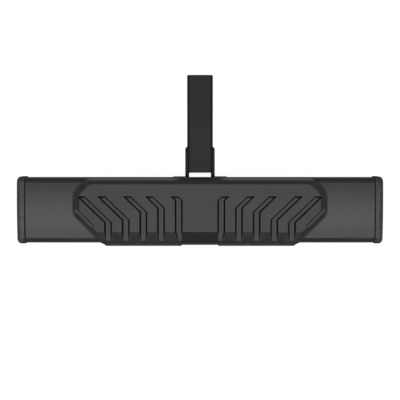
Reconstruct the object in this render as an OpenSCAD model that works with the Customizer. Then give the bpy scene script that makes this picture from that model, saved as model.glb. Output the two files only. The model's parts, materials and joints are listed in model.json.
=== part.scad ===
// Hitch receiver step: a flat step tube with a moulded pad, on a square shank.
// The origin is the centre of the hitch pin hole, on the axis of the shank.
// +Y points into the receiver, +X along the step and +Z up. Millimetres.

/* [Shank] */
// Outer width of the square tube
shank_w = 50.8; // [40:0.1:64]
// Wall of the square tube
shank_wall = 3.2; // [2.5:0.1:6]
// Outer corner radius of the square tube
shank_corner_r = 6.4; // [3.5:0.1:9]
// From the pin hole to the end inside the receiver
shank_rear = 64; // [45:1:90]
// How far the shank runs on past the middle of the step tube
shank_under = 30; // [10:1:55]
// Diameter of the hitch pin hole
pin_hole_d = 16.5; // [12:0.1:20]
// From the pin hole to the middle of the step tube
pin_to_step = 200; // [180:1:300]

/* [Window] */
// Length of the see-through window along the shank
window_len = 10.5; // [6:0.5:16]
// How far the window starts under the rear edge of the step tube
window_tuck = 2.5; // [0:0.5:5]
// Width of the window across the shank
window_w = 44; // [36:0.5:44]
// Corner radius of the window
window_r = 2; // [0.5:0.5:2.5]

/* [Step tube] */
// Length of the flat tube
tube_len = 686; // [600:1:900]
// Depth from the front edge to the rear edge
tube_depth = 127; // [120:1:150]
// Height at the middle of the crown
tube_h = 50; // [42:1:60]
// Wall of the flat tube
tube_wall = 2; // [1.5:0.1:3]
// Radius of the four long edges
tube_edge_r = 11; // [8:0.5:12]
// How far the middle of the top stands above its edges
tube_crown = 3; // [1:0.5:5]

/* [Side plates] */
// Thickness of the folded plates
plate_t = 4; // [3:0.5:6]
// From the middle of the step tube to the rear ends of the plates
plate_rear = 120; // [100:1:140]
// From the middle of the step tube to the front ends of the plates
plate_front = 58; // [50:1:60]
// From the upper face of the shank down to the upper edge of a plate, behind its flange
plate_drop = 12; // [11:0.5:16]
// From the underside of the shank up to the lower edge of a plate
plate_lift = 11; // [10:0.5:16]
// Corner cut at the rear end of a plate
plate_corner = 8; // [4:1:9]
// Inner radius of the fold
bend_r = 4; // [2:0.5:5]
// From the middle of the shank to the outer edge of a flange
flange_reach = 59; // [56:1:75]
// How far the flange stands out behind the rear edge of the step tube
flange_proud = 1; // [0:0.5:3]
// Corner cut of a flange, across the shank
flange_cut_x = 8; // [2:1:10]
// Corner cut of a flange, along the shank
flange_cut_y = 3.5; // [1:0.5:6]

/* [Welds] */
// Leg of the fillet welds
weld_leg = 3.5; // [2.5:0.5:4]
// Length left bare at each end of the edge that a weld follows
weld_inset = 2; // [1:0.5:5]

/* [Flange bolts] */
// Thread diameter
bolt_d = 8; // [6:1:9]
// Length under the head
bolt_len = 20; // [18:1:22]
// Width across the flats of the head
bolt_flats = 13; // [10:1:15]
// Height of the head
bolt_head_h = 5.3; // [4:0.1:7]
// From the middle of the shank to a bolt
bolt_x = 46; // [44:0.5:50]
// From the middle of the step tube to a bolt
bolt_y = 38; // [25:1:45]
// Hole in the flange
flange_hole_d = 9; // [8.5:0.5:12]
// Outer diameter of a flat washer
washer_d = 16; // [15:1:18]
// Thickness of a flat washer
washer_t = 1.6; // [1:0.1:2.5]
// Outer diameter of a spring washer
spring_d = 13.5; // [12:0.5:15]
// Thickness of a spring washer
spring_t = 2; // [1.5:0.1:3]
// Slot in a spring washer
spring_slot = 1.5; // [1:0.5:3]
// Body diameter of a rivet nut
nut_d = 11; // [10.5:0.5:13]
// Length of a rivet nut
nut_len = 16; // [12:1:20]
// Diameter of its bulge inside the tube
nut_bulge_d = 15; // [14:0.5:18]
// Height of its bulge
nut_bulge_h = 3; // [2:0.5:5]

/* [Step pad] */
// How far the tread stands above the crown of the tube
pad_rise = 8; // [7:0.5:12]
// Thickness of the rim that lies on the tube
pad_rim = 2; // [1:0.5:3]
// Half of the overall length of the pad
pad_half = 245; // [235:1:290]
// From the rear edge of the tube to the rear edge of the rim
pad_setback = 2.5; // [1.5:0.5:6.5]
// Flat ledge behind the rear bevel
pad_ledge = 3; // [1:0.5:5]
// Width of the bevel at the ends of the pad
border_w = 12.5; // [8:0.5:18]
// Width of the bevel along the rear
rear_bevel = 7; // [4:0.5:12]
// Width of the bevel along the front
front_bevel = 17; // [12:0.5:18]
// From the front edge of the tube to the front edge of the tread
tread_setback = 22; // [20.5:0.5:25.5]
// Upright step between the tread and the bevel at its ends
tread_step = 1; // [0.5:0.5:2]
// Corner cut at the rear corners of the pad
rear_cut = 25; // [16:1:30]
// Corner cut at the rear corners of the tread
tread_rear_cut = 20; // [12:1:25]
// Where the front corner cut of the pad starts, ahead of the middle of the tube
front_cut = 8; // [2:0.5:14]
// Where the front corner cut of the tread starts
tread_front_cut = 7; // [1:0.5:12]
// Radius where the outline of the pad turns
turn_r = 24; // [10:1:28]
// Radius where the outline of the tread turns
tread_turn_r = 14; // [6:1:20]
// Thickness of the nose on the front of the tube
nose_t = 6.5; // [5:0.5:10]
// How far the nose reaches down from the crown of the tube
nose_drop = 24; // [16:1:34]
// Half of the length of the nose
nose_half = 182; // [165:1:190]
// How far each end of the nose slopes
nose_slope = 3.5; // [2:0.5:8]
// How far a thin shoulder goes on along the tube from there
nose_shoulder = 7.5; // [3:0.5:10]
// Thickness of the shoulder where the slope ends
nose_shoulder_t = 2.2; // [1:0.1:4]
// Gap between the pad and the tube
pad_gap = 0.2; // [0.1:0.1:0.3]

/* [Grooves] */
// From the middle of the pad to the first groove
groove_first = 41; // [36:0.5:44]
// From one groove to the next
groove_pitch = 34; // [30:0.5:36]
// Where each groove bends, behind the middle of the tube
groove_bends = [19.5, 5, -3, -18, -23]; // [-30:0.5:24]
// Where the grooves end, behind the middle of the tube
groove_end = 27.5; // [25:0.5:34]
// Width of a groove at the tread
groove_w = 15; // [11:0.5:18]
// Width of its floor
groove_floor_w = 9.2; // [5:0.1:10]
// Depth of the grooves below the tread
groove_depth = 4.5; // [3:0.5:5]
// Lean of the upper run, away from straight across the step
groove_lean = 46; // [35:1:50]
// How far the feet of the two middle grooves turn in
foot_turn = 6; // [0:0.5:8]
// Width of the short groove along the front corner cut of the tread
short_w = 9; // [6:0.5:10]
// Width of its floor
short_floor_w = 6; // [3:0.5:6]
// From the edge of that corner cut to the middle of the short groove
short_inset = 0.3; // [0.1:0.1:3]
// From the front end of that corner cut to the front end of the short groove
short_front = 12.5; // [8:0.5:20]
// Upright step at the front edge of the middle panel
panel_step = 1.5; // [0.5:0.5:2.5]
// How much lower the middle of the nose lies
panel_fall = 2.5; // [1:0.5:4]
// How far the middle of the nose is set back
nose_setback = 2; // [0.5:0.5:3]

/* [Pad clips] */
// From the middle of the pad to the first clip in the rear row
clip_rear_first = 60; // [50:1:70]
// From one clip in the rear row to the next
clip_rear_pitch = 68; // [60:1:70]
// From the middle of the tube to the rear row
clip_rear_y = 39; // [34:1:44]
// From the middle of the tube to the front row
clip_front_y = 28; // [20:1:34]
// Diameter of the head
clip_head_d = 13; // [10:0.5:14]
// Thickness of the head
clip_head_t = 1.6; // [1:0.1:2]
// Diameter of the stem
clip_stem_d = 5; // [4:0.5:6]
// Length of the stem below the head
clip_len = 13; // [11:0.5:18]
// Diameter of the fins
clip_fin_d = 9; // [8:0.5:11]
// Thickness of a fin
clip_fin_t = 0.8; // [0.5:0.1:1.2]
// From one fin to the next
clip_fin_pitch = 2.4; // [2:0.1:3]
// Hole in the tube for a clip
clip_hole_d = 7; // [6.5:0.5:8]

/* [End caps] */
// Thickness of the cap beyond the end of the tube
cap_t = 11.5; // [9:0.5:20]
// How far the lip of the cap covers the tube
cap_lip = 4.5; // [2:0.5:8]
// How far the cap stands proud of the tube
cap_proud = 1.8; // [1:0.1:3]
// Radius of the outer edge
cap_edge_r = 8; // [4:0.5:8.5]
// Thickness of the face of the cap
cap_face_t = 4; // [3:0.5:6]
// Wall of the plug
plug_wall = 3; // [2:0.5:3.5]
// How far the plug reaches into the tube
plug_len = 32; // [26:1:45]
// Gap between the plug and the tube
plug_gap = 0.8; // [0.5:0.1:1.2]
// Width of a crush rib on the plug
rib_w = 3; // [2:0.5:5]
// From one crush rib to the next
rib_pitch = 24; // [18:1:26]

/* [Cap screws] */
// Thread diameter
screw_d = 4.2; // [3.5:0.1:5]
// Length under the head
screw_len = 12; // [10:1:13]
// Diameter of the head
screw_head_d = 8.5; // [7:0.5:10]
// Height of the head
screw_head_h = 2.6; // [2:0.1:3.2]
// Cross recess in the head: length of each arm
recess_w = 4.4; // [3:0.1:5]
// Cross recess in the head: width of each arm
recess_t = 1.1; // [0.8:0.1:1.4]
// From the end of the tube to a screw
screw_inset = 16; // [10:1:18]
// From the middle of the tube to a screw
screw_y = 36; // [24:1:44]
// Boss in the plug around a screw
boss_d = 10; // [9:0.5:12]
// Height of the boss above the floor of the tube
boss_h = 14; // [13:0.5:18]

/* [Hidden] */

// Finishes as the eye sees them
powder_coat = [0.20, 0.20, 0.205];
shank_coat = [0.15, 0.15, 0.155];
pad_black = [0.24, 0.24, 0.24];
cap_black = [0.22, 0.22, 0.225];
zinc = [0.62, 0.62, 0.60];
nylon = [0.85, 0.84, 0.80];

$fn = 64;
// The crown is a short piece of a very large circle
crown_fn = 1440;
// Steps of each corner and of the crown in an outline made of points
corner_steps = 7;
crown_steps = 8;

// Cuts run this far past what they cut
over = 1;
// Radial clearance of a set rivet nut, of a bolt in its thread and of a cap lip on the tube
thread_gap = 0.05;
lip_gap = 0.1;
// Clearance across a screw hole, a clip pocket and a pilot hole
hole_gap = 0.5;
// Distance that crush ribs keep from the wall that they press on
rib_gap = 0.1;

half_depth = tube_depth / 2;
half_shank = shank_w / 2;
floor_z = half_shank;

// The crown circle, and the middles of the edge circles that blend into it
crown_r = (half_depth * half_depth + tube_crown * tube_crown) / (2 * tube_crown);
crown_z = tube_h - crown_r;
edge_y = half_depth - tube_edge_r;
edge_z = crown_z + sqrt(pow(crown_r - tube_edge_r, 2) - edge_y * edge_y);

// Height of the crowned top of the tube at a distance y from its middle
function top_at(y) = crown_z + sqrt(crown_r * crown_r - y * y);

// Moves what is drawn about the middle of the step tube, on its floor, to its place
module at_step() {
    translate([0, -pin_to_step, floor_z]) children();
}

// Draws what was drawn on the right side again on the left, for side -1
module on_side(side) {
    if (side < 0) mirror([1, 0, 0]) children();
    else children();
}

// Lays a section, drawn across the step and upwards, out along it from one end to the other
module along_step(from, to) {
    translate([from, 0, 0]) rotate([90, 0, 90]) linear_extrude(to - from) children();
}

// Section of the step tube, with its skin taken in by inset
module tube_section(inset = 0) {
    r = tube_edge_r - inset;
    crown = crown_r - inset;
    tangent_y = edge_y * crown / (crown_r - tube_edge_r);
    intersection() {
        translate([0, crown_z]) circle(crown, $fn = crown_fn);
        translate([-tangent_y, tube_edge_r]) square([2 * tangent_y, tube_h]);
    }
    translate([inset - half_depth, tube_edge_r]) square([2 * (half_depth - inset), edge_z - tube_edge_r]);
    translate([-edge_y, inset]) square([2 * edge_y, tube_edge_r]);
    for (side = [-1, 1]) {
        translate([side * edge_y, tube_edge_r]) circle(r);
        translate([side * edge_y, edge_z]) circle(r);
    }
}

// An upright cylinder from z upwards: a hole when it is cut out
module upright(d, z, h) {
    translate([0, 0, z]) cylinder(d = d, h = h);
}

// The four flange bolts, two on each side of the shank
module at_bolts() {
    for (x = [-bolt_x, bolt_x], y = [-bolt_y, bolt_y]) translate([x, y, 0]) children();
}

// Distance of groove i from the middle of the pad, and the middle of the block beside it
function groove_x(i) = groove_first + i * groove_pitch;
function block_x(i) = groove_x(i) + groove_pitch / 2;

// The clips: three in the rear row and two in the front row of each half, and one in the middle
module at_clips() {
    for (side = [-1, 1]) {
        for (i = [0 : 2]) clip_place(side * (clip_rear_first + i * clip_rear_pitch), clip_rear_y) children();
        for (i = [1, 3]) clip_place(side * block_x(i), -clip_front_y) children();
    }
    clip_place(0, -clip_front_y) children();
}

// A clip stands square to the crowned top of the tube
module clip_place(x, y) {
    translate([x, y, top_at(y)]) rotate([-asin(y / crown_r), 0, 0]) children();
}

module at_cap_screws(side) {
    for (y = [-screw_y, screw_y]) translate([side * (tube_len / 2 - screw_inset), y, 0]) children();
}

module step_tube() {
    color(powder_coat) at_step() difference() {
        along_step(-tube_len / 2, tube_len / 2) tube_section();
        along_step(-tube_len / 2 - over, tube_len / 2 + over) tube_section(tube_wall);
        at_bolts() upright(nut_d + 2 * thread_gap, -over, tube_wall + 2 * over);
        at_clips() upright(clip_hole_d, -2 * tube_wall - over, 2 * tube_wall + 2 * over);
        for (side = [-1, 1]) at_cap_screws(side) upright(screw_d + hole_gap, -over, tube_wall + 2 * over);
    }
}

// The pad
tread_z = tube_h + pad_rise;
groove_floor_z = tread_z - groove_depth;
rim_z = tube_h + pad_rim;
tread_half = pad_half - border_w;
tread_front = half_depth - tread_setback;
pad_rear = half_depth - pad_setback;
foot_rear = pad_rear - pad_ledge;
tread_rear = foot_rear - rear_bevel;
bevel_front = tread_front + front_bevel;
nose_front = half_depth + nose_t;

// The arc that rounds corner b between its neighbours a and c
function unit(v) = v / norm(v);
function round_corner(a, b, c, r, steps = 6) =
    let (
        u = unit(a - b),
        v = unit(c - b),
        half_angle = acos(u * v) / 2,
        centre = b + unit(u + v) * r / sin(half_angle),
        first = b + u * r / tan(half_angle) - centre,
        last = b + v * r / tan(half_angle) - centre,
        start = atan2(first.y, first.x),
        turn = atan2(last.y, last.x) - start,
        sweep = turn > 180 ? turn - 360 : turn < -180 ? turn + 360 : turn
    )
    [for (i = [0 : steps]) centre + r * [cos(start + sweep * i / steps), sin(start + sweep * i / steps)]];

// Outline of the pad where the bevel at its ends has run out by part t of its width
function pad_outline(t, rear, front) =
    let (
        half = tread_half + t * border_w,
        rear_corner = tread_rear_cut + t * (rear_cut - tread_rear_cut),
        front_start = tread_front_cut + t * (front_cut - tread_front_cut),
        r = tread_turn_r + t * (turn_r - tread_turn_r),
        corners = [
            [0, rear], [half - rear_corner, rear], [half, rear - rear_corner],
            [half, -front_start], [half - (front - front_start), -front]
        ],
        turns = [for (i = [1 : 3]) each round_corner(corners[i - 1], corners[i], corners[i + 1], r)],
        right = concat(turns, [corners[4]]),
        left = [for (i = [len(right) - 1 : -1 : 0]) [-right[i].x, right[i].y]]
    )
    concat(right, left);

// Where the rear and front bevels have got to at height z
function rear_at(z) = tread_rear + (tread_z - z) / (tread_z - rim_z) * rear_bevel;
function front_at(z) = tread_front + (tread_z - z) / (tread_z - groove_floor_z) * front_bevel;

// Tread, bevels and the foot that they stand on, as a stack of outlines from the foot up
module pad_body() {
    step_z = tread_z - tread_step;
    part = (step_z - groove_floor_z) / (step_z - rim_z);
    levels = [
        [edge_z, pad_outline(1, foot_rear, bevel_front)],
        [rim_z, pad_outline(1, foot_rear, bevel_front)],
        [groove_floor_z, pad_outline(part, rear_at(groove_floor_z), bevel_front)],
        [step_z, pad_outline(0, rear_at(step_z), front_at(step_z))],
        [tread_z, pad_outline(0, tread_rear, tread_front)]
    ];
    count = len(levels[0][1]);
    top = (len(levels) - 1) * count;
    polyhedron(
        points = [for (level = levels) for (p = level[1]) [p.x, p.y, level[0]]],
        faces = concat(
            [[for (i = [count - 1 : -1 : 0]) i], [for (i = [0 : count - 1]) top + i]],
            [for (k = [0 : len(levels) - 2]) for (i = [0 : count - 1]) each
                let (a = k * count + i, b = k * count + (i + 1) % count)
                [[a, b, b + count], [a, b + count, a + count]]]
        )
    );
}

// The thin rim that follows the crown and the rear edge of the tube
module pad_rim_skin() {
    intersection() {
        translate([0, 0, edge_z]) linear_extrude(tube_h) polygon(pad_outline(1, pad_rear, bevel_front - pad_rim));
        along_step(-pad_half, pad_half) tube_section(-pad_rim);
    }
}

// Section of the nose: on from the foot of the front bevel in its slope, then round and down the tube
module nose_section(front, top) {
    slope = atan(groove_depth / front_bevel);
    r = (front - bevel_front) / (1 - sin(slope));
    centre_z = top - r * cos(slope);
    lip_r = (front - half_depth - pad_gap) / 2;
    low = tube_h - nose_drop + lip_r;
    intersection() {
        translate([r - front, centre_z]) circle(r);
        translate([-front - over, low]) square([front + over - bevel_front, top]);
    }
    translate([-front, low]) square([2 * lip_r + pad_gap + over, centre_z - low]);
    translate([lip_r - front, low]) circle(lip_r);
    translate([-bevel_front, edge_z]) square([front_bevel / 2, top - edge_z]);
}

// The nose: two long ends, and a middle that lies lower and further back
module pad_nose() {
    middle_half = groove_first - foot_turn;
    middle_top = groove_floor_z - panel_fall;
    nose_end = nose_half + nose_slope + nose_shoulder;
    for (side = [-1, 1]) on_side(side) intersection() {
        along_step(middle_half, nose_end) nose_section(nose_front, groove_floor_z);
        linear_extrude(tread_z) polygon([
            [middle_half, -bevel_front + front_bevel],
            [middle_half, -nose_front + nose_setback],
            [middle_half + nose_setback, -nose_front],
            [nose_half, -nose_front],
            [nose_half + nose_slope, -half_depth - nose_shoulder_t],
            [nose_end, -half_depth + 1.5],
            [nose_end, -bevel_front + front_bevel]
        ]);
    }
    along_step(-middle_half, middle_half) nose_section(nose_front - nose_setback, middle_top);
}

// A groove to cut out, through the points of its middle line from the front to the rear. Its width
// is measured along the step. The rear end slopes by end_run over the depth of the groove
module groove(line, w, floor_w, end_run = 0) {
    last = len(line) - 1;
    draft = (w - floor_w) / 2 / groove_depth;
    top_half = w / 2 + draft * over;
    lean = (line[last].x - line[last - 1].x) / (line[last].y - line[last - 1].y);
    rise = end_run / groove_depth * over;
    stations = [for (i = [0 : last]) [
        i < last ? line[i] : line[i] - end_run * [lean, 1],
        i < last ? line[i] : line[i] + rise * [lean, 1]
    ]];
    polyhedron(
        points = [for (s = stations) each [
            [s[0].x - floor_w / 2, s[0].y, groove_floor_z], [s[0].x + floor_w / 2, s[0].y, groove_floor_z],
            [s[1].x + top_half, s[1].y, tread_z + over], [s[1].x - top_half, s[1].y, tread_z + over]
        ]],
        faces = concat(
            [[0, 3, 2, 1], [4 * last, 4 * last + 1, 4 * last + 2, 4 * last + 3]],
            [for (i = [0 : last - 1]) for (j = [0 : 3])
                let (a = 4 * i + j, b = 4 * i + (j + 1) % 4) [a, b, b + 4, a + 4]]
        )
    );
}

// Bent grooves on the right half. The first one's foot turns in towards the middle
module bent_grooves() {
    wall_run = (groove_w - groove_floor_w) / 2;
    past_bevel = -bevel_front - groove_depth;
    for (i = [0 : len(groove_bends) - 1]) {
        x = groove_x(i);
        bend = [x, groove_bends[i]];
        end = [x + (groove_end - bend.y) * tan(groove_lean), groove_end];
        foot = i == 0 ? [[x - foot_turn, past_bevel], [x, -tread_front]] : [[x, past_bevel]];
        groove(concat(foot, [bend, end]), groove_w, groove_floor_w, wall_run);
    }
}

// The short groove inside the front corner cut, closed at its front end
module short_groove() {
    translate([tread_half + tread_front_cut, 0, 0]) rotate([0, 0, -45]) translate([-short_inset, 0, 0])
        groove([[0, short_front - tread_front * sqrt(2)], [0, tread_front_cut * sqrt(2)]], short_w, short_floor_w);
}

// Takes the front of the middle panel down to the lower middle of the nose
module panel_cut() {
    panel_half = groove_first - groove_floor_w / 2;
    low = groove_floor_z - panel_fall;
    along_step(-panel_half, panel_half) polygon([
        [-tread_front, tread_z + over], [-tread_front, tread_z - panel_step],
        [-bevel_front, low], [-nose_front - over, low], [-nose_front - over, tread_z + over]
    ]);
}

module step_pad() {
    color(pad_black) at_step() difference() {
        union() {
            difference() {
                pad_body();
                panel_cut();
                for (side = [-1, 1]) on_side(side) {
                    bent_grooves();
                    short_groove();
                }
            }
            pad_rim_skin();
            pad_nose();
        }
        along_step(-pad_half - over, pad_half + over) tube_section(-pad_gap);
        at_clips() upright(clip_head_d + hole_gap, -over, over + clip_head_t + pad_gap);
    }
}

// Points of an arc, both ends included
function arc(centre, r, from, to, steps) =
    [for (i = [0 : steps]) centre + r * [cos(from + (to - from) * i / steps), sin(from + (to - from) * i / steps)]];

// The tube's section again as one list of points, for the levels that a hull is drawn over
function cap_outline(inset) =
    let (
        r = tube_edge_r - inset,
        slope = asin(edge_y / (crown_r - tube_edge_r)),
        crown = arc([0, crown_z], crown_r - inset, 90 - slope, 90 + slope, crown_steps),
        right = concat(
            arc([edge_y, tube_edge_r], r, -90, 0, corner_steps),
            arc([edge_y, edge_z], r, 0, 90 - slope, corner_steps)
        ),
        left = [for (i = [len(right) - 1 : -1 : 0]) [-right[i].x, right[i].y]]
    )
    concat(right, [for (i = [1 : crown_steps - 1]) crown[i]], left);

// The outside of an end cap. It is drawn beyond the right end of the tube, where x starts
module cap_shell() {
    hull() {
        for (angle = [0 : 15 : 90])
            along_step(-cap_lip, cap_t - cap_edge_r * (1 - sin(angle)))
                polygon(cap_outline(cap_edge_r * (1 - cos(angle)) - cap_proud));
    }
}

// Crush ribs: five above and below, and one on each side
module rib_section() {
    intersection() {
        tube_section(tube_wall + rib_gap);
        union() {
            for (i = [-2 : 2]) translate([i * rib_pitch - rib_w / 2, 0]) square([rib_w, tube_h]);
            translate([-half_depth, (tube_h - rib_w) / 2]) square([tube_depth, rib_w]);
        }
    }
}

module cap_bosses() {
    skin = tube_wall + plug_gap;
    for (y = [-screw_y, screw_y]) translate([-screw_inset, y, 0]) upright(boss_d, skin, boss_h - skin);
}

module end_cap(side) {
    skin = tube_wall + plug_gap;
    hollow_end = cap_t - cap_face_t;
    color(cap_black) at_step() on_side(side) translate([tube_len / 2, 0, 0]) difference() {
        union() {
            difference() {
                union() {
                    difference() {
                        cap_shell();
                        along_step(-cap_lip - over, 0) tube_section(-lip_gap);
                    }
                    along_step(-plug_len, hollow_end) tube_section(skin);
                    along_step(-plug_len + rib_w, 0) rib_section();
                }
                along_step(-plug_len - over, hollow_end) tube_section(skin + plug_wall);
            }
            cap_bosses();
        }
        for (y = [-screw_y, screw_y])
            translate([-screw_inset, y, 0]) upright(screw_d + 2 * thread_gap, 0, boss_h + over);
    }
}

// A rectangle about the origin with round corners
module round_rectangle(w, h, r) {
    square([w - 2 * r, h], center = true);
    square([w, h - 2 * r], center = true);
    for (x = [-1, 1], y = [-1, 1]) translate([x * (w / 2 - r), y * (h / 2 - r)]) circle(r);
}

// The shank runs from inside the receiver to under the step tube
module shank_tube() {
    inner_w = shank_w - 2 * shank_wall;
    window_y = half_depth - window_tuck + window_len / 2 - pin_to_step;
    color(shank_coat) difference() {
        translate([0, shank_rear, 0]) rotate([90, 0, 0])
            linear_extrude(shank_rear + pin_to_step + shank_under) difference() {
                round_rectangle(shank_w, shank_w, shank_corner_r);
                round_rectangle(inner_w, inner_w, shank_corner_r - shank_wall);
            }
        rotate([0, 90, 0]) cylinder(d = pin_hole_d, h = shank_w + 2 * over, center = true);
        translate([0, window_y, -half_shank - over])
            linear_extrude(shank_w + 2 * over) round_rectangle(window_w, window_len, window_r);
    }
}

// The side plates, drawn on the right from the underside of the step tube down
flange_rear = half_depth + flange_proud;
fold_x = half_shank + plate_t + bend_r;
fold_z = -plate_t - bend_r;
web_low = plate_lift - shank_w;
weld_out = min(weld_leg, plate_t);

// Lays a section, drawn across the shank and upwards, out along it from front to rear
module along_shank(from, to) {
    translate([0, to, 0]) rotate([90, 0, 0]) linear_extrude(to - from) children();
}

module plate_web() {
    along_step(half_shank, half_shank + plate_t) polygon([
        [-plate_front, web_low],
        [plate_rear - plate_corner, web_low],
        [plate_rear, web_low + plate_corner],
        [plate_rear, -plate_drop - plate_corner],
        [plate_rear - plate_corner, -plate_drop],
        [flange_rear, -plate_drop],
        [flange_rear, fold_z],
        [-plate_front, fold_z]
    ]);
}

module plate_fold() {
    outer_r = bend_r + plate_t;
    along_shank(-plate_front, flange_rear) translate([fold_x, fold_z]) intersection() {
        difference() {
            circle(outer_r);
            circle(bend_r);
        }
        translate([-outer_r, 0]) square(outer_r);
    }
}

module plate_flange() {
    translate([0, 0, -plate_t]) linear_extrude(plate_t) polygon([
        [fold_x, -plate_front],
        [flange_reach - flange_cut_x, -plate_front],
        [flange_reach, flange_cut_y - plate_front],
        [flange_reach, flange_rear - flange_cut_y],
        [flange_reach - flange_cut_x, flange_rear],
        [fold_x, flange_rear]
    ]);
}

module side_plate(side) {
    color(powder_coat) at_step() on_side(side) difference() {
        union() {
            plate_web();
            plate_fold();
            plate_flange();
        }
        at_bolts() upright(flange_hole_d, -plate_t - over, plate_t + 2 * over);
    }
}

// Section of a fillet weld in the corner at the origin, with legs along x and y
module fillet(across, up) {
    polygon([[0, 0], [across, 0], [0, up]]);
}

module top_weld(side) {
    color(powder_coat) at_step() on_side(side)
        along_shank(flange_rear + weld_inset, plate_rear - plate_corner - weld_inset)
            translate([half_shank, -plate_drop]) fillet(weld_out, weld_leg);
}

module bottom_weld(side) {
    color(powder_coat) at_step() on_side(side)
        along_shank(weld_inset - shank_under, plate_rear - plate_corner - weld_inset)
            translate([half_shank, web_low]) fillet(weld_out, -weld_leg);
}

module end_weld(side) {
    low = web_low + plate_corner;
    high = -plate_drop - plate_corner;
    color(powder_coat) at_step() on_side(side)
        translate([half_shank, plate_rear, low]) linear_extrude(high - low) fillet(weld_out, weld_leg);
}

// Fasteners, all set upright from below

// Distance from the underside of the step tube to the seats of the washers and of the bolt head
washer_z = -plate_t - washer_t;
spring_z = washer_z - spring_t;

module flange_bolts() {
    head_z = spring_z - bolt_head_h;
    color(zinc) at_step() at_bolts() {
        intersection() {
            translate([0, 0, head_z]) cylinder(d = bolt_flats / cos(30), h = bolt_head_h, $fn = 6);
            translate([0, 0, head_z])
                cylinder(d1 = bolt_flats, d2 = bolt_flats + 2 * bolt_head_h / tan(30), h = bolt_head_h);
        }
        upright(bolt_d, spring_z, bolt_len);
    }
}

module spring_washers() {
    color(zinc) at_step() at_bolts() difference() {
        upright(spring_d, spring_z, spring_t);
        upright(bolt_d + hole_gap, spring_z - over, spring_t + 2 * over);
        translate([0, -spring_slot / 2, spring_z - over]) cube([spring_d, spring_slot, spring_t + 2 * over]);
    }
}

module flat_washers() {
    color(zinc) at_step() at_bolts() difference() {
        upright(washer_d, washer_z, washer_t);
        upright(bolt_d + hole_gap, washer_z - over, washer_t + 2 * over);
    }
}

module rivet_nuts() {
    color(zinc) at_step() at_bolts() difference() {
        union() {
            upright(nut_d, 0, nut_len);
            upright(nut_bulge_d, tube_wall, nut_bulge_h);
        }
        upright(bolt_d + 2 * thread_gap, -over, nut_len + 2 * over);
    }
}

// Push clips: the head lies on the tube in a pocket of the pad, and the fins hold below the wall
module pad_clips() {
    fin_h = 2 * clip_fin_t;
    color(nylon) at_step() at_clips() {
        upright(clip_head_d, 0, clip_head_t);
        upright(clip_stem_d, -clip_len, clip_len);
        for (i = [0 : 2]) translate([0, 0, -tube_wall - rib_gap - fin_h - i * clip_fin_pitch])
            cylinder(d1 = clip_stem_d, d2 = clip_fin_d, h = fin_h);
    }
}

module cap_screws() {
    recess_h = screw_head_h / 2;
    color(zinc) at_step() for (side = [-1, 1]) at_cap_screws(side) difference() {
        union() {
            upright(screw_head_d, -screw_head_h, screw_head_h);
            upright(screw_d, 0, screw_len);
        }
        for (angle = [0, 90]) rotate([0, 0, angle])
            translate([-recess_w / 2, -recess_t / 2, -screw_head_h - over])
                cube([recess_w, recess_t, recess_h + over]);
    }
}

step_tube();
step_pad();
end_cap(-1);  // end_cap_left
end_cap(1);  // end_cap_right
shank_tube();
side_plate(-1);  // side_plate_left
side_plate(1);  // side_plate_right
top_weld(-1);  // top_weld_left
top_weld(1);  // top_weld_right
bottom_weld(-1);  // bottom_weld_left
bottom_weld(1);  // bottom_weld_right
end_weld(-1);  // end_weld_left
end_weld(1);  // end_weld_right
flange_bolts();
spring_washers();
flat_washers();
rivet_nuts();
pad_clips();
cap_screws();
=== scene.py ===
import json
import math
import random

import bmesh
import bpy
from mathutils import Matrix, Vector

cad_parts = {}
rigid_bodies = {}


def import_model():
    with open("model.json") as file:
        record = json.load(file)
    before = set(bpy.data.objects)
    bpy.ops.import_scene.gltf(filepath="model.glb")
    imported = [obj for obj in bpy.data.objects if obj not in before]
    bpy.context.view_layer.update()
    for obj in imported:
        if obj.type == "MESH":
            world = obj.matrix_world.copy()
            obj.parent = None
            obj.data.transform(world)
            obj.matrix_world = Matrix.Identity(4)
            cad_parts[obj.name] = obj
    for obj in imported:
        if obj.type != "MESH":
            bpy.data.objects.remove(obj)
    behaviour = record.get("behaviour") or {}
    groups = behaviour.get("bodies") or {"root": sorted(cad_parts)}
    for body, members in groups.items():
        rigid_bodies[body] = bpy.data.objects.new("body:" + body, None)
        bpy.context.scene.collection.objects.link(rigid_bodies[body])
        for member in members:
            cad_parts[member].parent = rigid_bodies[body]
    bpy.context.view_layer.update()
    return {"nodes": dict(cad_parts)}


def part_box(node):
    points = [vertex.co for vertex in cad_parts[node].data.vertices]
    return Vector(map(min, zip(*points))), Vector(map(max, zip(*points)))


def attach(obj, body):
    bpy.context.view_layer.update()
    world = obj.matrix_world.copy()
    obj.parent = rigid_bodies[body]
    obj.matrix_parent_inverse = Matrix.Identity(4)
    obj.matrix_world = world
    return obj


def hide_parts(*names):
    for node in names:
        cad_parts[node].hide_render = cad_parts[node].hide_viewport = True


for leftover in list(bpy.data.objects):
    bpy.data.objects.remove(leftover)
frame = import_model()

# The shank is a square steel tube with a welded seam inside, open at both ends. It is cut to
# length, the pin hole and the window are cut through it, and it is powder coated black.

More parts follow.
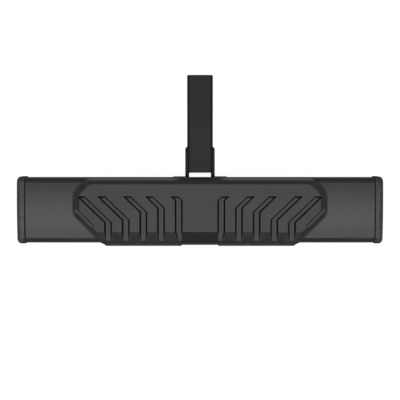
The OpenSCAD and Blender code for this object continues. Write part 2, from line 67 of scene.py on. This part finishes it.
class Wire:
    """An output of a shader node. Sums and products of wires and numbers add Math nodes."""

    def __init__(self, tree, socket=None):
        self.tree = tree
        self.socket = socket

    def node(self, kind, settings, values, output=0):
        """Adds any other node, and gives one of its outputs."""
        made = self.tree.nodes.new("ShaderNode" + kind)
        for name, setting in settings.items():
            if name == "stops":
                ramp = made.color_ramp.elements
                while len(ramp) < len(setting):
                    ramp.new(0.5)
                for element, (place, colour) in zip(ramp, setting):
                    element.position = place
                    element.color = (*colour, 1)
            else:
                setattr(made, name, setting)
        for name, value in values.items():
            if isinstance(value, Wire):
                self.tree.links.new(value.socket, made.inputs[name])
            else:
                made.inputs[name].default_value = value
        return Wire(self.tree, made.outputs[output])

    def maths(self, operation, first, second=0.0):
        return self.node("Math", {"operation": operation}, {0: first, 1: second})

    def __add__(self, other):
        return self.maths("ADD", self, other)

    __radd__ = __add__

    def __sub__(self, other):
        return self.maths("SUBTRACT", self, other)

    def __rsub__(self, other):
        return self.maths("SUBTRACT", other, self)

    def __mul__(self, other):
        return self.maths("MULTIPLY", self, other)

    __rmul__ = __mul__

    def between(self, low, high):
        """0 below low and 1 above high, with a smooth rise between them."""
        values = {"Value": self, "From Min": low, "From Max": high}
        return self.node("MapRange", {"interpolation_type": "SMOOTHSTEP"}, values)

    def blend(self, without, full):
        """One colour where this mask is 0, another where it is 1."""
        return self.node("Mix", {"data_type": "RGBA"}, {0: self, 6: without, 7: full}, 2)


def grey(level, warm=0.0):
    """A near-neutral colour, a little warmer or cooler."""
    return (level * (1 + warm), level, level * (1 - warm), 1)


def cloud(place, size, detail=2.0):
    """Soft blotches of about this size in metres, from 0 to 1."""
    values = {"Vector": place, "Scale": 1 / size, "Detail": detail, "Roughness": 0.5}
    return place.node("TexNoise", {}, values)


def edges(place, radius):
    """1 on outer and inner edges, from the angle between the true and the rounded normal."""
    rounded = place.node("Bevel", {"samples": 6}, {"Radius": radius})
    flat = place.node("NewGeometry", {}, {}, "Normal")
    turn = place.node("VectorMath", {"operation": "DOT_PRODUCT"}, {0: rounded, 1: flat}, "Value")
    return rounded, (1 - turn).between(0.01, 0.2)


def cavity(place, reach):
    """1 in corners and narrow gaps, 0 on open faces."""
    settings = {"samples": 6}
    return 1 - place.node("AmbientOcclusion", settings, {"Distance": reach}, "AO").between(0.25, 0.95)


def steep(place, low, high):
    """1 on walls and undersides, 0 on faces that look up."""
    facing = place.node("TexCoord", {}, {}, "Normal")
    return 1 - facing.node("SeparateXYZ", {}, {0: facing}, "Z").between(low, high)


def material(name, metallic=0.0, ior=1.5, **constants):
    """An empty material and the wire that its first node hangs on."""
    made = bpy.data.materials.new(name)
    made.use_nodes = True
    tree = made.node_tree
    tree.nodes.clear()
    start = Wire(tree)
    shader = tree.nodes.new("ShaderNodeBsdfPrincipled")
    shader.inputs["Metallic"].default_value = metallic
    shader.inputs["IOR"].default_value = ior
    for socket, value in constants.items():
        shader.inputs[socket.replace("_", " ")].default_value = value
    out = tree.nodes.new("ShaderNodeOutputMaterial")
    tree.links.new(shader.outputs[0], out.inputs[0])
    place = start.node("TexCoord", {}, {}, "Object")
    return made, shader, place


def finish(shader, colour, roughness, height, depth, normal=None):
    """Joins a colour, a roughness and a bump of this depth in metres to the shader."""
    values = {"Height": height, "Distance": depth, "Strength": 1.0}
    if normal is not None:
        values["Normal"] = normal
    bump = height.node("Bump", {}, values)
    for name, wire in (("Base Color", colour), ("Roughness", roughness), ("Normal", bump)):
        height.tree.links.new(wire.socket, shader.inputs[name])


def powder_coat(name, level, gloss, shine, low, high, cap_shade_mask=None):
    """Baked powder on steel: a fine orange peel with small pits, thin and paler on the edges. Below
    the height that high gives, the surface turns down, and there its colour is painted darker as
    shade and the coat is duller. Corners and gaps are painted darker as shade too. The last
    function gives a mask of where shade is painted darker against the lips of the end caps."""
    made, shader, place = material(name, ior=1.25, Specular_IOR_Level=shine)
    rounded, edge = edges(place, 0.0007)
    corner = cavity(place, 0.004)
    peel = cloud(place, 0.0016, 1.0)
    grit = cloud(place, 0.00045, 2.0)
    patch = cloud(place, 0.07, 3.0)
    pit = 1 - place.node("TexVoronoi", {}, {"Vector": place, "Scale": 420.0}).between(0.06, 0.16)
    tone = patch.between(0.3, 0.7).blend(grey(level * 0.9), grey(level * 1.1, -0.01))
    tone = (pit * 0.35).blend(tone, grey(level * 0.45))
    tone = (edge * grit.between(0.35, 0.75) * 0.5).blend(tone, grey(level * 2.2 + 0.03))
    # Painted shade: corners and narrow gaps are darker.
    tone = corner.blend(tone, grey(level * 0.2))
    side = steep(place, low, high)
    # Painted shade: walls and undersides are darker.
    tone = side.blend(tone, grey(level * 0.1))
    rough = gloss + (patch - 0.5) * 0.12 + (grit - 0.5) * 0.14 + pit * 0.1 + corner * 0.6
    rough = rough + side * 0.05 + steep(place, 0.2, 0.55) * 0.5
    if cap_shade_mask:
        cap_shade = cap_shade_mask(place)
        # Painted shade: the tube is made darker against the lips of the caps.
        tone = cap_shade.blend(tone, grey(0.0008))
        rough = rough + cap_shade * 0.6
    finish(shader, tone, rough, peel * 0.7 + grit * 0.3 - pit * 0.5, 0.00009, rounded)
    return made


def dress(node, made):
    """Gives a CAD node its material."""
    frame["nodes"][node].data.materials.clear()
    frame["nodes"][node].data.materials.append(made)


def softened(name, node, radius, angle, leave=None, wide=None, wide_radius=0.0):
    """A copy of a CAD node that replaces it. Slivers join the faces beside them, flat faces are made
    whole, and edges sharper than the angle are rounded, but not where the function leave says so.
    First the edges that the function wide names are rounded more."""
    same_point = 2e-6
    thinnest = 8e-6
    most_slivers = 60
    form = bmesh.new()
    form.from_mesh(frame["nodes"][node].data)
    bmesh.ops.remove_doubles(form, verts=form.verts, dist=same_point)
    for _ in range(most_slivers):
        lengths = {face: max(edge.calc_length() for edge in face.edges) for face in form.faces}
        slivers = [face for face in form.faces if face.calc_area() < thinnest / 2 * lengths[face]]
        if not slivers:
            break
        longest = max(slivers[0].edges, key=lambda edge: edge.calc_length())
        bmesh.ops.dissolve_edges(form, edges=[longest], use_verts=False)
    form.normal_update()
    bmesh.ops.dissolve_limit(form, angle_limit=math.radians(0.1), verts=form.verts, edges=form.edges)
    if wide:
        chosen = [edge for edge in form.edges if all(wide(corner.co) for corner in edge.verts)]
        bmesh.ops.bevel(
            form, geom=chosen, offset=wide_radius, offset_type="OFFSET", segments=4, profile=0.5,
            affect="EDGES", clamp_overlap=False
        )
    kept = {corner for corner in form.verts if leave and leave(corner.co)}
    sharp = [edge for edge in form.edges if edge.calc_face_angle(0.0) > math.radians(angle)]
    rounded = [edge for edge in sharp if not kept.intersection(edge.verts)]
    for edge in set(sharp).difference(rounded):
        edge.smooth = False
    bmesh.ops.bevel(
        form, geom=rounded, offset=radius, offset_type="OFFSET", segments=2, profile=0.5,
        affect="EDGES", clamp_overlap=False
    )
    for face in form.faces:
        face.smooth = True
    mesh = bpy.data.meshes.new(name)
    form.to_mesh(mesh)
    form.free()
    if "custom_normal" in mesh.attributes:
        mesh.attributes.remove(mesh.attributes["custom_normal"])
    piece = bpy.data.objects.new(name, mesh)
    bpy.context.collection.objects.link(piece)
    piece.modifiers.new("shading", "WEIGHTED_NORMAL").keep_sharp = True
    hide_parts(node)
    return piece


def fit(piece, made):
    """Gives a piece its material and slot, and lets it ride on the step."""
    piece.data.materials.clear()
    piece.data.materials.append(made)
    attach(piece, "root")


shank_coat = powder_coat("shank_coat", 0.015, 0.5, 0.4, 0.88, 0.995)
fit(softened("shank", "shank_tube", 0.0004, 20), shank_coat)

# The flash of the shank's long weld is left inside the tube. The mill rolls it down, but it is
# never quite even, and the powder coat covers it.


def skin(form, rings, loop=False):
    """Faces from ring to ring of points. Without a loop, the first and last ring are closed."""
    rows = [[form.verts.new(point) for point in ring] for ring in rings]
    count = len(rows[0])
    for k in range(len(rows) if loop else len(rows) - 1):
        this = rows[k]
        following = rows[(k + 1) % len(rows)]
        for i in range(count):
            j = (i + 1) % count
            form.faces.new((this[i], this[j], following[j], following[i]))
    if not loop:
        form.faces.new(rows[0][::-1])
        form.faces.new(rows[-1])


def made_piece(name, form, sharp=35.0):
    """An object of a finished bmesh, smooth but for edges sharper than this many degrees."""
    bmesh.ops.recalc_face_normals(form, faces=form.faces)
    mesh = bpy.data.meshes.new(name)
    form.to_mesh(mesh)
    form.free()
    mesh.polygons.foreach_set("use_smooth", [True] * len(mesh.polygons))
    mesh.set_sharp_from_angle(angle=math.radians(sharp))
    piece = bpy.data.objects.new(name, mesh)
    bpy.context.collection.objects.link(piece)
    return piece


def wander(chance, count, every, amount):
    """A smooth random line of this many values, with a new random value after every few."""
    marks = [chance.uniform(-amount, amount) for _ in range(count // every + 3)]
    line = []
    for i in range(count):
        k, part = divmod(i, every)
        part = part / every
        part = part * part * (3 - 2 * part)
        line.append(marks[k] * (1 - part) + marks[k + 1] * part)
    return line


shank_low, shank_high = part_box("shank_tube")
shank_wall = 0.0032
seam_half = 0.0011
seam_height = 0.00045
seam_root = 0.0003
seam_inset = 0.0005
seam_x = shank_low.x + shank_wall
seam_z = 0.0145
seam_profile = [
    (-0.0004, -1.0), (0.2, -0.9), (0.8, -0.45), (1.0, 0.0), (0.75, 0.5), (0.2, 0.95), (-0.0004, 1.0)
]
chance = random.Random(7)
seam_steps = 290
seam_rise = wander(chance, seam_steps + 1, 4, 0.00012)
seam_sway = wander(chance, seam_steps + 1, 9, 0.0003)
seam_rings = []
for k in range(seam_steps + 1):
    y = shank_low.y + seam_inset + (shank_high.y - shank_low.y - 2 * seam_inset) * k / seam_steps
    middle = seam_z + seam_sway[k]
    high = seam_height + seam_rise[k]
    seam_rings.append([
        (seam_x + (high * rise if rise > 0 else -seam_root), y, middle + seam_half * out)
        for rise, out in seam_profile
    ])
form = bmesh.new()
skin(form, seam_rings)
seam = made_piece("shank_seam", form, 80.0)
fit(seam, shank_coat)

# The side plates are laser cut from steel plate, folded out at the top into flanges and powder
# coated with the step tube.

tube_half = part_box("step_tube")[1].x
lip_reach = 0.0045


def split(place):
    """The two coordinates along and across the step, in metres."""
    return [place.node("SeparateXYZ", {}, {0: place}, axis) for axis in ("X", "Y")]


def against_caps(place):
    """1 on the tube in the last millimetre before the lips of the end caps, where shade is painted
    darker.
    """
    x = split(place)[0]
    lip = tube_half - lip_reach
    return x.maths("ABSOLUTE", x).between(lip - 0.0014, lip - 0.0005)


tube_coat = powder_coat("tube_coat", 0.02, 0.22, 0.58, 0.76, 0.96, against_caps)
for side in ("left", "right"):
    fit(softened("plate_" + side, "side_plate_" + side, 0.0006, 20), tube_coat)

# Weld beads join the plates to the shank, above, below and at the rear end of each plate. They
# are laid by hand, so their ripples vary, and the powder coat covers them.


def weld_bead(name, node, along, across, up, seed):
    """A rippled fillet bead in the space of its CAD node. The unit vectors across and up lead from
    the root of the joint along its two faces, and the bead runs along the third."""
    low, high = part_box(node)
    corner = [low[i] if across[i] + up[i] > 0 else high[i] for i in range(3)]
    length = high[along] - low[along]
    corner[along] = low[along]
    leg_across = max(abs(across[i]) * (high[i] - low[i]) for i in range(3))
    leg_up = max(abs(up[i]) * (high[i] - low[i]) for i in range(3))
    chance = random.Random(seed)
    step = 0.0004
    count = int(length / step)
    ripple = 0.0026
    end_swell = 0.0022
    crater_depth = 0.22
    crater_back = 0.0025
    crater_width = 0.0014
    bulge = 0.62
    size = wander(chance, count + 1, 14, 0.05)
    pace = wander(chance, count + 1, 9, 0.16)
    lean = wander(chance, count + 1, 20, 0.05)
    rings = []
    for k in range(count + 1):
        run = length * k / count
        to_end = min(run, length - run)
        ends = min(1.0, 0.35 + 0.65 * math.sqrt(min(1.0, to_end / end_swell)))
        crater = crater_depth * math.exp(-((length - run - crater_back) / crater_width) ** 2)
        ring = [tuple(corner[i] + (run if i == along else 0.0) for i in range(3))]
        for n in range(13):
            turn = math.pi / 2 * n / 12
            chord = 1 / (math.cos(turn) + math.sin(turn))
            convex = chord + (1 - chord) * bulge
            lag = math.sin(2 * turn) * 0.55
            phase = (run / ripple + pace[k] - lag) % 1.0
            scale = (phase ** 0.6) * (1 - phase) ** 0.25
            rise = 0.24 * scale * math.sin(2 * turn) ** 0.5
            reach = convex * ends * (1 + size[k]) * (0.84 + rise - crater)
            a = leg_across * reach * math.cos(turn) * (1 + lean[k])
            b = leg_up * reach * math.sin(turn) * (1 - lean[k])
            ring.append(tuple(
                corner[i] + across[i] * a + up[i] * b + (run if i == along else 0.0) for i in range(3)
            ))
        rings.append(ring)
    form = bmesh.new()
    skin(form, rings)
    bead = made_piece(name, form, 50.0)
    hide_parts(node)
    fit(bead, tube_coat)


for side, sign in (("left", -1), ("right", 1)):
    weld_bead("bead_top_" + side, "top_weld_" + side, 1, (sign, 0, 0), (0, 0, 1), 20 + sign)
    weld_bead("bead_bottom_" + side, "bottom_weld_" + side, 1, (sign, 0, 0), (0, 0, -1), 30 + sign)
    weld_bead("bead_end_" + side, "end_weld_" + side, 2, (sign, 0, 0), (0, 1, 0), 40 + sign)

# The step tube is a flat steel tube, rolled with round edges and a slightly crowned top. It is cut
# to length, pierced for the bolts, clips and screws, and powder coated black.

dress("step_tube", tube_coat)

# Zinc-plated hexagon bolts, spring washers and flat washers hold the flanges to rivet nuts in the
# floor of the tube. The bolts are cold formed, with a dished head, and their thread is rolled.

zinc, shader, place = material("zinc", metallic=1.0)
rounded = edges(place, 0.0004)[0]
patch = cloud(place, 0.004, 3.0)
fine = cloud(place, 0.0003, 2.0)
tone = patch.between(0.3, 0.7).blend(grey(0.55, 0.02), grey(0.66, -0.02))
finish(shader, tone, 0.3 + (patch - 0.5) * 0.15 + fine * 0.08, fine, 0.00002, rounded)

bolt_low, bolt_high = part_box("flange_bolts")
washer_low, washer_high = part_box("flat_washers")
spring_low, spring_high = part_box("spring_washers")
flats = 0.013
chamfer_r = flats * 0.475
face_r = flats * 0.47
face_t = 0.0004
thread_r = 0.004
thread_depth = 0.0006
thread_pitch = 0.00125
hole_r = 0.00425
washer_d = 0.016
spring_d = 0.0135
bolt_x = washer_high.x - washer_d / 2
bolt_ys = (washer_low.y + washer_d / 2, washer_high.y - washer_d / 2)
bolt_places = [(side * bolt_x, y) for side in (-1, 1) for y in bolt_ys]


def circle(radius, z, count, x=0.0, y=0.0):
    """Points of a level circle. The radius is a number or a function of the angle."""
    points = []
    for i in range(count):
        turn = 2 * math.pi * i / count
        r = radius(turn) if callable(radius) else radius
        points.append((x + r * math.cos(turn), y + r * math.sin(turn), z(turn) if callable(z) else z))
    return points


def hexagon(turn):
    """Distance from the middle of the bolt head to its side."""
    return flats / 2 / math.cos((turn + math.pi / 6) % (math.pi / 3) - math.pi / 6)


def head_chamfer(turn):
    """Height at which the chamfer of the bolt head meets its side."""
    return bolt_low.z + (hexagon(turn) - chamfer_r) * math.tan(math.radians(30))


def thread(radius, depth, pitch, low, high, count):
    """Rings of a rolled thread between two heights, six to each turn."""
    rings = []
    z = low
    while z < high:
        rings.append(circle(
            lambda turn: radius - depth * abs(2 * ((z / pitch - turn / 2 / math.pi) % 1.0) - 1), z, count
        ))
        z += pitch / 6
    return rings


def turned(rings, angle, x, y):
    """The rings turned about their own axis, which is then moved to x and y."""
    cosine = math.cos(angle)
    sine = math.sin(angle)
    return [
        [(x + a * cosine - b * sine, y + a * sine + b * cosine, c) for a, b, c in ring] for ring in rings
    ]


around = 72
bolt_rings = [
    circle(0.0012, bolt_low.z + 0.0007, around), circle(0.0034, bolt_low.z + 0.00055, around),
    circle(0.0039, bolt_low.z + 0.0001, around), circle(0.0042, bolt_low.z, around),
    circle(chamfer_r, bolt_low.z, around), circle(hexagon, head_chamfer, around),
    circle(hexagon, spring_low.z - face_t, around), circle(face_r, spring_low.z - face_t, around),
    circle(face_r, spring_low.z, around), circle(thread_r, spring_low.z, around)
]
bolt_rings += thread(
    thread_r, thread_depth, thread_pitch, spring_low.z + 0.0002, bolt_high.z - 0.0006, around
)
bolt_rings.append(circle(thread_r - thread_depth, bolt_high.z, around))
form = bmesh.new()
for number, (x, y) in enumerate(bolt_places):
    skin(form, turned(bolt_rings, 0.35 + number * 1.3, x, y))
bolts = made_piece("hex_bolts", form, 28.0)
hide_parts("flange_bolts")
fit(bolts, zinc)

spring_r = spring_d / 2
spring_half = (spring_high.z - spring_low.z) / 2
spring_z = (spring_high.z + spring_low.z) / 2
spring_gap = 0.0012 / spring_r
spring_steps = 60
spring_skew = 0.0001
in_round = 0.0002
out_round = 0.0003
spring_section = [
    (hole_r + in_round, -spring_half), (spring_r - out_round, -spring_half),
    (spring_r, -spring_half + out_round), (spring_r, spring_half - out_round),
    (spring_r - out_round, spring_half), (hole_r + in_round, spring_half),
    (hole_r, spring_half - in_round), (hole_r, -spring_half + in_round)
]
form = bmesh.new()
for number, (x, y) in enumerate(bolt_places):
    rings = []
    for k in range(spring_steps + 1):
        turn = spring_gap / 2 + (2 * math.pi - spring_gap) * k / spring_steps + number
        z = spring_z + (0.5 - k / spring_steps) * spring_skew
        rings.append([
            (x + r * math.cos(turn), y + r * math.sin(turn), z + h * 0.97) for r, h in spring_section
        ])
    skin(form, rings)
springs = made_piece("split_washers", form, 25.0)
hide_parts("spring_washers")
fit(springs, zinc)

washer_r = washer_d / 2
burr = 0.00008
washer_section = [
    (hole_r + 0.0003, washer_low.z), (washer_r - 0.0006, washer_low.z),
    (washer_r - 0.00018, washer_low.z + 0.00018), (washer_r, washer_low.z + 0.0006),
    (washer_r, washer_high.z - burr), (washer_r - burr, washer_high.z),
    (hole_r + burr, washer_high.z), (hole_r, washer_high.z - burr), (hole_r, washer_low.z + 0.0003)
]
form = bmesh.new()
for x, y in bolt_places:
    skin(form, [circle(r, z, around, x, y) for r, z in washer_section], True)
washers = made_piece("punched_washers", form, 40.0)
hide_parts("flat_washers")
fit(washers, zinc)

dress("rivet_nuts", zinc)

# The step pad is one moulding in black plastic with a fine spark-eroded grain. It lies on the tube,
# hooks over its front edge, and is held by push clips.


def moulded(name, level, gloss, shine, grain, walls=0.3, shade_mask=None, glaze_and_highlight=None):
    """Moulded plastic with a spark-eroded grain, rubbed a little paler on the edges. Walls, bevels and
    corners are painted darker as shade. The functions in the last two arguments give masks of
    painted shade, and of where the mould left it shiny and a paler highlight is painted."""
    made, shader, place = material(name, ior=1.25, Specular_IOR_Level=shine, Coat_Roughness=0.2)
    rounded, edge = edges(place, 0.0006)
    corner = cavity(place, 0.0025)
    cell = place.node("TexVoronoi", {"feature": "SMOOTH_F1"}, {"Vector": place, "Scale": 1 / grain})
    fine = cloud(place, grain * 0.6, 2.0)
    patch = cloud(place, 0.06, 3.0)
    blotch = cloud(place, 0.011, 2.0)
    tone = blotch.between(0.35, 0.65).blend(grey(level * 0.55), grey(level * 1.45))
    tone = fine.between(0.4, 0.8).blend(tone, grey(level * 1.25))
    tone = (edge * 0.35).blend(tone, grey(level * 1.8 + 0.01))
    side = steep(place, 0.56, 0.9)
    # Painted shade: walls and bevels, which face away from the lamps, are darker.
    tone = side.blend(tone, grey(level * 0.2))
    # Painted shade: corners and grooves are darker.
    tone = corner.blend(tone, grey(level * 0.2))
    # Painted shade on the faces that the first mask gives.
    if shade_mask:
        tone = shade_mask(place).blend(tone, grey(level * 0.25))
    if glaze_and_highlight:
        gloss_and_highlight = glaze_and_highlight(place)
        # Painted highlight: the glossy edge is made paler.
        tone = gloss_and_highlight.blend(tone, grey(level * 2.8))
    rough = gloss + (fine - 0.5) * 0.16 + (patch - 0.5) * 0.08 + (blotch - 0.5) * 0.12
    rough = rough + (side + corner) * walls + steep(place, 0.15, 0.45) * 0.5
    finish(shader, tone, rough, cell * 0.7 + fine * 0.4, grain * 0.2, rounded)
    if glaze_and_highlight:
        place.tree.links.new(gloss_and_highlight.socket, shader.inputs["Coat Weight"])
    return made


pad_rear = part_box("step_pad")[1].y
pad_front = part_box("step_pad")[0].y
panel_half = 0.036
panel_blur = 0.0005
panel_face = 0.028
plain_lip_from = 0.037
plain_lip_to = 0.051


def shaded_middle(place):
    """1 on the front face of the middle panel and on the rim behind it, which are painted darker as
    shade.
    """
    x, y = split(place)
    away = x.maths("ABSOLUTE", x)
    inside = 1 - away.between(panel_half - panel_blur, panel_half + panel_blur)
    ahead = 1 - y.between(pad_front + panel_face - panel_blur, pad_front + panel_face + panel_blur)
    behind = y.between(pad_rear - 0.0042, pad_rear - 0.0034)
    return inside * ahead + (1 - away.between(plain_lip_from, plain_lip_to)) * behind


def rear_lip_highlight(place):
    """1 on the thin rear edge of the rim, where the two halves of the mould close and leave it glossier,
    and where a highlight is painted paler.
    """
    x, y = split(place)
    away = x.maths("ABSOLUTE", x)
    edge = y.between(pad_rear - 0.003, pad_rear - 0.0022)
    return away.between(plain_lip_from, plain_lip_to) * edge


pad_plastic = moulded("pad_plastic", 0.0128, 0.36, 0.68, 0.0009, 0.0, shaded_middle, rear_lip_highlight)


def awkward(point):
    """True where the nose steps back and where the rim runs out, whose edges stay as they are."""
    steps_back = abs(abs(point.x) - 0.035) < 0.0021 and point.y < -0.2625
    return steps_back or (abs(point.x) > 0.2405 and point.z < 0.0785)


fit(softened("pad", "step_pad", 0.0005, 10, awkward), pad_plastic)

# Push clips, moulded in natural nylon, hold the pad on the tube. They are pressed through holes in
# its wall, and their fins spring out below it.

nylon, shader, place = material("nylon", Subsurface_Weight=0.1)
rounded = edges(place, 0.0004)[0]
patch = cloud(place, 0.005, 2.0)
tone = patch.blend(grey(0.62, 0.06), grey(0.72, 0.05))
finish(shader, tone, 0.45 + patch * 0.1, patch, 0.00005, rounded)
dress("pad_clips", nylon)

# The end caps are moulded in black plastic and pushed into the ends of the tube. Their lips reach
# over it, with edges rounded more where they meet it.

cap_plastic = moulded("cap_plastic", 0.03, 0.36, 0.78, 0.0007)
cap_low, cap_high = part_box("end_cap_left")


def lip_edge(point):
    """True on the outer edge of the lip, where it meets the tube."""
    inside = cap_low.y + 0.0012 < point.y < cap_high.y - 0.0012
    low_or_high = point.z < cap_low.z + 0.0006 or point.z > cap_high.z - 0.0036
    on_edge = abs(abs(point.x) - (tube_half - lip_reach)) < 0.0001
    return on_edge and (not inside or low_or_high)


for side in ("left", "right"):
    piece = softened("cap_" + side, "end_cap_" + side, 0.0005, 16, None, lip_edge, 0.0012)
    fit(piece, cap_plastic)

# A zinc-plated pan head screw from below holds each half of a cap. The cross recess is pressed into
# its head when it is cold formed.

screw_low, screw_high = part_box("cap_screws")
screw_r = 0.0021
screw_head_r = 0.00425
recess_arm = 0.0024
recess_half = 0.00065
screw_x = screw_high.x - screw_head_r
screw_y_mid = (screw_low.y + screw_high.y) / 2
screw_y = (screw_high.y - screw_low.y) / 2 - screw_head_r
screw_depth = 0.0005
screw_pitch = 0.0014
seat_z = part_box("step_tube")[0].z


def cross(turn):
    """Distance from the middle of the screw head to the wall of its recess."""
    a = abs(math.cos(turn))
    b = abs(math.sin(turn))
    return min(recess_arm / max(a, b), recess_half / min(a, b) if min(a, b) > 0.001 else 1.0)


def dome(r):
    """Height of the underside of the head at a distance from its middle."""
    return screw_low.z + 0.0011 * (r / screw_head_r) ** 3


around = 96
screw_rings = [
    circle(lambda turn: cross(turn) * 0.35, screw_low.z + 0.0014, around),
    circle(lambda turn: cross(turn) * 0.72, screw_low.z + 0.0012, around),
    circle(lambda turn: cross(turn) * 0.97, lambda turn: dome(cross(turn)) + 0.00015, around),
    circle(lambda turn: cross(turn) * 1.04, lambda turn: dome(cross(turn)), around)
]
screw_rings += [circle(r, dome(r), around) for r in (0.0028, 0.0033, 0.0037, 0.004, screw_head_r)]
screw_rings += [circle(screw_head_r, seat_z, around), circle(screw_r, seat_z, around)]
screw_rings += thread(screw_r, screw_depth, screw_pitch, seat_z + 0.0003, screw_high.z - 0.001, around)
screw_rings.append(circle(0.0004, screw_high.z, around))
form = bmesh.new()
for number, (side, way) in enumerate([(-1, -1), (-1, 1), (1, -1), (1, 1)]):
    skin(form, turned(screw_rings, 0.4 + number * 0.9, side * screw_x, screw_y_mid + way * screw_y))
screws = made_piece("cross_screws", form, 28.0)
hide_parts("cap_screws")
fit(screws, zinc)

# The floor and the backdrop are white paper, lit so that they show white. The floor keeps the
# step's shadow.


def seen_white(tree):
    """1 where the camera, a reflection or glass looks at the floor or the world."""
    path = Wire(tree)
    seen = path.node("LightPath", {}, {}, "Is Camera Ray")
    rays = seen.socket.node.outputs
    glossy = Wire(tree, rays["Is Glossy Ray"])
    through = Wire(tree, rays["Is Transmission Ray"])
    return (seen + glossy + through).between(0.0, 1.0)


floor_mesh = bpy.data.meshes.new("floor")
floor_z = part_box("shank_tube")[0].z - 0.0002
reach = 12.0
corners = [
    (-reach, -reach, floor_z), (reach, -reach, floor_z), (reach, reach, floor_z), (-reach, reach, floor_z)
]
floor_mesh.from_pydata(corners, [], [(0, 1, 2, 3)])
floor = bpy.data.objects.new("floor", floor_mesh)
bpy.context.collection.objects.link(floor)
floor_white = bpy.data.materials.new("floor_white")
floor_white.use_nodes = True
tree = floor_white.node_tree
tree.nodes.clear()
seen = seen_white(tree)
paint = seen.node("BsdfDiffuse", {}, {"Color": grey(0.16)})
glow = seen.node("Emission", {}, {"Color": grey(1.0), "Strength": 0.94})
both = seen.node("AddShader", {}, {0: paint, 1: glow})
plain = seen.node("BsdfDiffuse", {}, {"Color": grey(0.8)})
surface = seen.node("MixShader", {}, {0: seen, 1: plain, 2: both})
tree.links.new(surface.socket, tree.nodes.new("ShaderNodeOutputMaterial").inputs[0])
floor_mesh.materials.append(floor_white)

world = bpy.data.worlds.new("studio")
bpy.context.scene.world = world
world.use_nodes = True
tree = world.node_tree
tree.nodes.clear()
seen = seen_white(tree)
room = seen.node("Background", {}, {"Color": grey(1.0), "Strength": 0.3})
white = seen.node("Background", {}, {"Color": grey(1.0), "Strength": 1.0})
backdrop = seen.node("MixShader", {}, {0: seen, 1: room, 2: white})
tree.links.new(backdrop.socket, tree.nodes.new("ShaderNodeOutputWorld").inputs[0])


# Five level softboxes hang side by side over the step, the brightest above its front half.

softbox_width = 2.4
softbox_place = (-0.1, 2.35)


def softbox(name, front, rear, strength):
    """One softbox between two places in front of or behind the pin, this bright where white is 1."""
    lamp = bpy.data.lights.new(name, "AREA")
    lamp.shape = "RECTANGLE"
    lamp.size = softbox_width
    lamp.size_y = rear - front
    lamp.energy = math.pi * strength * softbox_width * (rear - front)
    holder = bpy.data.objects.new(name, lamp)
    bpy.context.collection.objects.link(holder)
    holder.location = (softbox_place[0], (front + rear) / 2, softbox_place[1])


softbox("panel_a", -0.9, -0.57, 5.2)
softbox("panel_b", -0.57, -0.45, 6.6)
softbox("panel_c", -0.45, -0.3, 5.3)
softbox("panel_d", -0.3, -0.1, 4.1)
softbox("panel_e", -0.1, 0.12, 2.5)

# The camera hangs high over the step and looks almost straight down.

camera_data = bpy.data.cameras.new("camera")
camera_data.lens = 86.7
camera_data.sensor_width = 36.0
camera = bpy.data.objects.new("camera", camera_data)
bpy.context.collection.objects.link(camera)
camera.location = (0.0, -0.0826, 1.9309)
camera.rotation_euler = (math.radians(-3), 0.0, 0.0)
bpy.context.scene.camera = camera
bpy.context.scene.view_settings.view_transform = "Standard"
